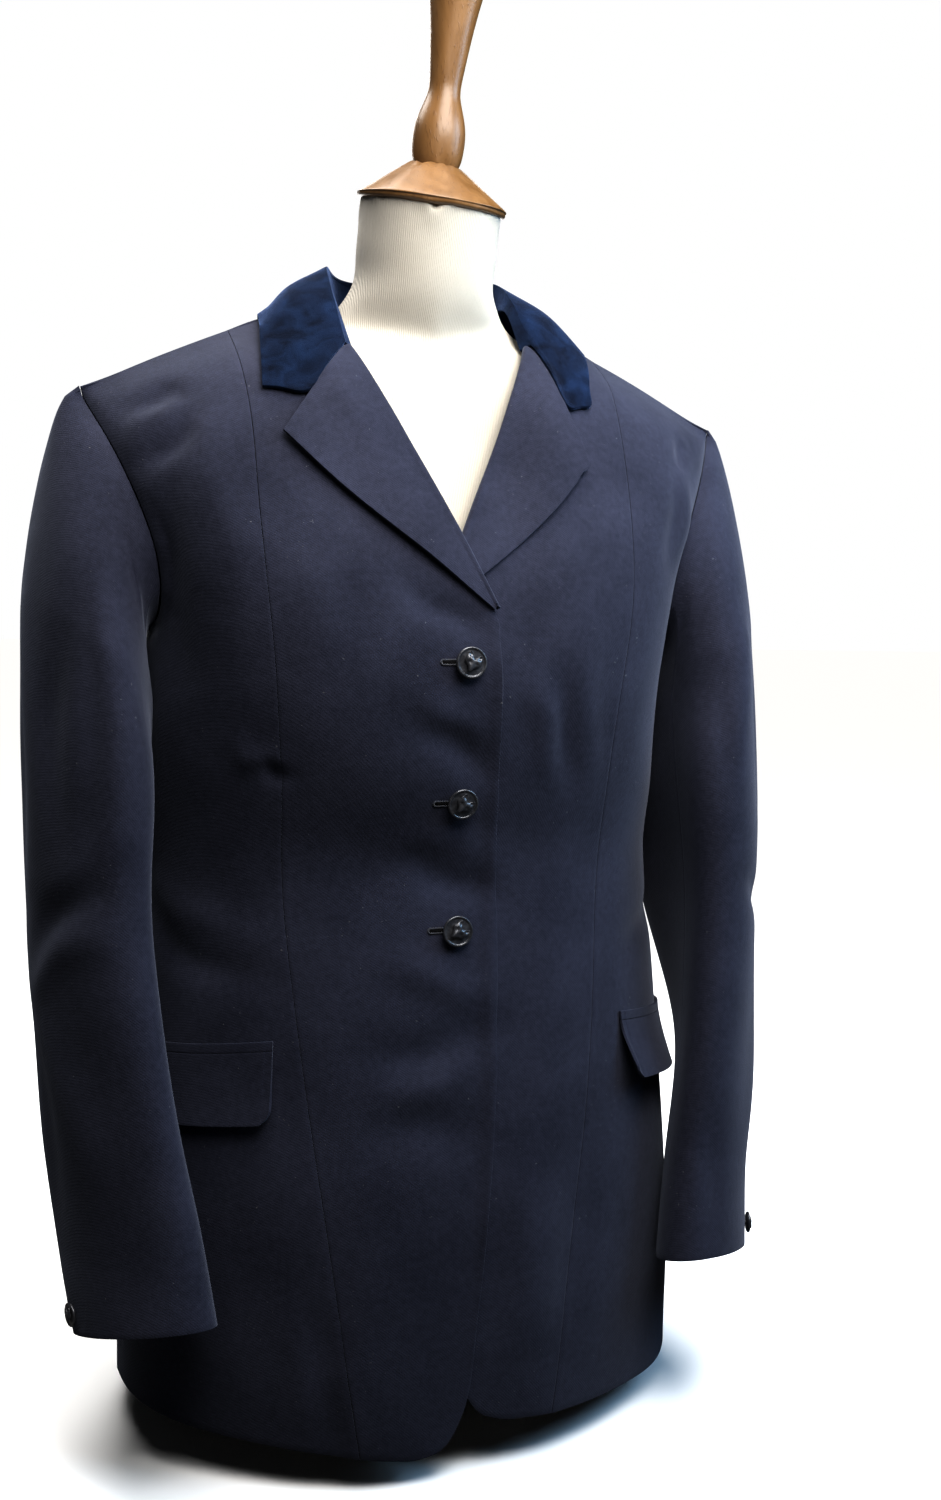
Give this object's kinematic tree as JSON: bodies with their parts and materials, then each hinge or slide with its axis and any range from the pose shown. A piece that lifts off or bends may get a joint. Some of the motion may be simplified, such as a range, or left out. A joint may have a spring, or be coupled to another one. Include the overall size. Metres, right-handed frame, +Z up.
{
  "type": "hunting jacket on a limbless dress form",
  "caption": "Single-breasted navy wool hunting jacket with notch lapels, velvet collar and flap pockets, worn by a limbless cloth-covered dress form with a turned wooden neck cap and handle.",
  "frame": {"origin": "on the surface that the form stands on, under the middle of the form", "axes": "+Z up, the front of the jacket faces -Y, the wearer's left is +X"},
  "size_m": [0.537, 0.2976, 0.9744],
  "materials": {
    "navy_wool": "matte fulled wool twill",
    "navy_velvet": "short cotton velvet pile",
    "cream_jersey": "matte knitted cover",
    "beech": "satin lacquer",
    "black_horn": "polished"
  },
  "bodies": {
    "root": {"front_right": "navy_wool", "front_left": "navy_wool", "side_front_right": "navy_wool", "side_front_left": "navy_wool", "back_right": "navy_wool", "back_left": "navy_wool", "top_sleeve_right": "navy_wool", "top_sleeve_left": "navy_wool", "under_sleeve_right": "navy_wool", "under_sleeve_left": "navy_wool", "lapel_right": "navy_wool", "lapel_left": "navy_wool", "collar": "navy_velvet", "pocket_welt_right": "navy_wool", "pocket_welt_left": "navy_wool", "pocket_flap_right": "navy_wool", "pocket_flap_left": "navy_wool", "front_button_1": "black_horn", "front_button_2": "black_horn", "front_button_3": "black_horn", "cuff_button_right": "black_horn", "cuff_button_left": "black_horn", "form_torso": "cream_jersey", "form_neck_cap": "beech", "form_handle": "beech"}
  },
  "joints": []
}
